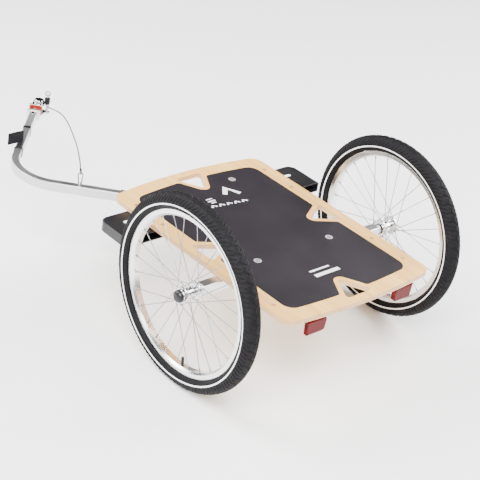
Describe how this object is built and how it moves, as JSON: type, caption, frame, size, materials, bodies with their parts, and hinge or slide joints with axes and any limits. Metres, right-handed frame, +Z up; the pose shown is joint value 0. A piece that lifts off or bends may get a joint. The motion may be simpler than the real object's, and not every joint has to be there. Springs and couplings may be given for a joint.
{
  "type": "bicycle cargo trailer",
  "caption": "Two-wheeled flatbed bicycle trailer: plywood deck with hand-holds, spoked wheels on pull-out axles, and a bent tow arm with a flexible hitch and safety cable.",
  "frame": {"origin": "centre of the bounding box's footprint, on the ground", "axes": "+X is the towing direction, +Y the left side, +Z up"},
  "size_m": [1.2793, 0.7642, 0.5],
  "materials": {
    "birch_ply": "birch plywood, clear coat",
    "deck_film": "dark anti-slip film",
    "zinc_steel": "zinc plated",
    "silver_aluminium": "anodised",
    "rim_aluminium": "polished, anodised",
    "spoke_steel": "stainless",
    "black_plastic": "moulded, fine texture",
    "white_marker": "reflective",
    "red_lens": "clear red lens",
    "tyre_black": "vulcanised",
    "pad_rubber": "moulded",
    "red_rubber": "moulded elastomer",
    "cream_plate": "cream coated",
    "chrome_steel": "polished",
    "webbing_black": "woven",
    "cable_steel": "stranded, clear sleeve"
  },
  "bodies": {
    "frame": {"deck_panel": "birch_ply", "deck_inlay": "deck_film", "cup_washers": "zinc_steel", "deck_bolts": "zinc_steel", "lock_nuts": "zinc_steel", "axle_pads": "pad_rubber", "axle_tube": "silver_aluminium", "axle_receivers": "silver_aluminium", "front_strap": "zinc_steel", "strap_spacer": "zinc_steel", "pivot_washers": "zinc_steel", "wheel_guard_left": "black_plastic", "wheel_guard_right": "black_plastic", "guard_markers": "white_marker", "rear_reflector_left": "red_lens", "rear_reflector_right": "red_lens", "reflector_brackets": "zinc_steel"},
    "axle_left": {"axle_pin_left": "spoke_steel", "axle_cap_left": "black_plastic"},
    "button_left": {"push_button_left": "black_plastic"},
    "wheel_left": {"tyre_left": "tyre_black", "rim_left": "rim_aluminium", "spokes_left": "spoke_steel", "hub_left": "rim_aluminium", "hub_bearings_left": "spoke_steel", "hub_seal_left": "pad_rubber", "valve_left": "pad_rubber"},
    "axle_right": {"axle_pin_right": "spoke_steel", "axle_cap_right": "black_plastic"},
    "button_right": {"push_button_right": "black_plastic"},
    "wheel_right": {"tyre_right": "tyre_black", "rim_right": "rim_aluminium", "spokes_right": "spoke_steel", "hub_right": "rim_aluminium", "hub_bearings_right": "spoke_steel", "hub_seal_right": "pad_rubber", "valve_right": "pad_rubber"},
    "arm": {"arm_tube": "silver_aluminium", "arm_end_tube": "silver_aluminium", "arm_collar": "black_plastic", "arm_pad": "black_plastic", "arm_eye": "zinc_steel", "webbing_flap": "webbing_black", "webbing_loop": "webbing_black", "clamp_stud": "zinc_steel", "hitch_plug": "silver_aluminium", "hitch_bolt": "zinc_steel", "flex_plate_rear": "cream_plate", "flex_block": "red_rubber", "safety_cable": "cable_steel", "cable_end": "chrome_steel", "snap_link": "chrome_steel"},
    "knob": {"clamp_knob": "black_plastic"},
    "hitch_cross": {"flex_cross": "zinc_steel"},
    "hitch_head": {"hitch_head": "chrome_steel", "flex_plate_front": "cream_plate", "pin_sleeve": "pad_rubber", "cable_fitting": "chrome_steel"},
    "lock_pin": {"lock_pin": "chrome_steel", "pull_ring": "chrome_steel"}
  },
  "joints": [
    {"name": "axle_left_pull", "type": "slide", "parent": "frame", "child": "axle_left", "axis": [0, 1, 0], "range_m": [0, 0.045]},
    {"name": "wheel_left_spin", "type": "hinge", "parent": "axle_left", "child": "wheel_left", "pos_m": [-0.37965, 0.348, 0.25], "axis": [0, 1, 0], "continuous": true},
    {"name": "button_left_push", "type": "slide", "parent": "axle_left", "child": "button_left", "axis": [0, -1, 0], "range_m": [0, 0.003], "stiffness_N_per_m": 600, "springref_m": -0.003},
    {"name": "axle_right_pull", "type": "slide", "parent": "frame", "child": "axle_right", "axis": [0, -1, 0], "range_m": [0, 0.045]},
    {"name": "wheel_right_spin", "type": "hinge", "parent": "axle_right", "child": "wheel_right", "pos_m": [-0.37965, -0.348, 0.25], "axis": [0, 1, 0], "continuous": true},
    {"name": "button_right_push", "type": "slide", "parent": "axle_right", "child": "button_right", "axis": [0, 1, 0], "range_m": [0, 0.003], "stiffness_N_per_m": 600, "springref_m": -0.003},
    {"name": "arm_swing", "type": "hinge", "parent": "frame", "child": "arm", "pos_m": [-0.02265, 0.1, 0.2492], "axis": [0, 0, 1], "range_deg": [-90, 0]},
    {"name": "clamp_knob_turn", "type": "hinge", "parent": "arm", "child": "knob", "pos_m": [0.04099, 0.16364, 0.225], "axis": [0, 0, 1], "range_deg": [0, 360]},
    {"name": "hitch_yaw", "type": "hinge", "parent": "arm", "child": "hitch_cross", "pos_m": [0.59708, 0.12347, 0.2492], "axis": [0, 0, 1], "range_deg": [-35, 35], "stiffness_Nm_per_rad": 6, "deforming": ["flex_block", "safety_cable"]},
    {"name": "hitch_pitch", "type": "hinge", "parent": "hitch_cross", "child": "hitch_head", "pos_m": [0.59708, 0.12347, 0.2492], "axis": [0.6884, 0.7254, 0], "range_deg": [-20, 20], "stiffness_Nm_per_rad": 12},
    {"name": "lock_pin_lift", "type": "slide", "parent": "hitch_head", "child": "lock_pin", "axis": [0, 0, 1], "range_m": [0, 0.03], "stiffness_N_per_m": 500, "springref_m": -0.004}
  ]
}
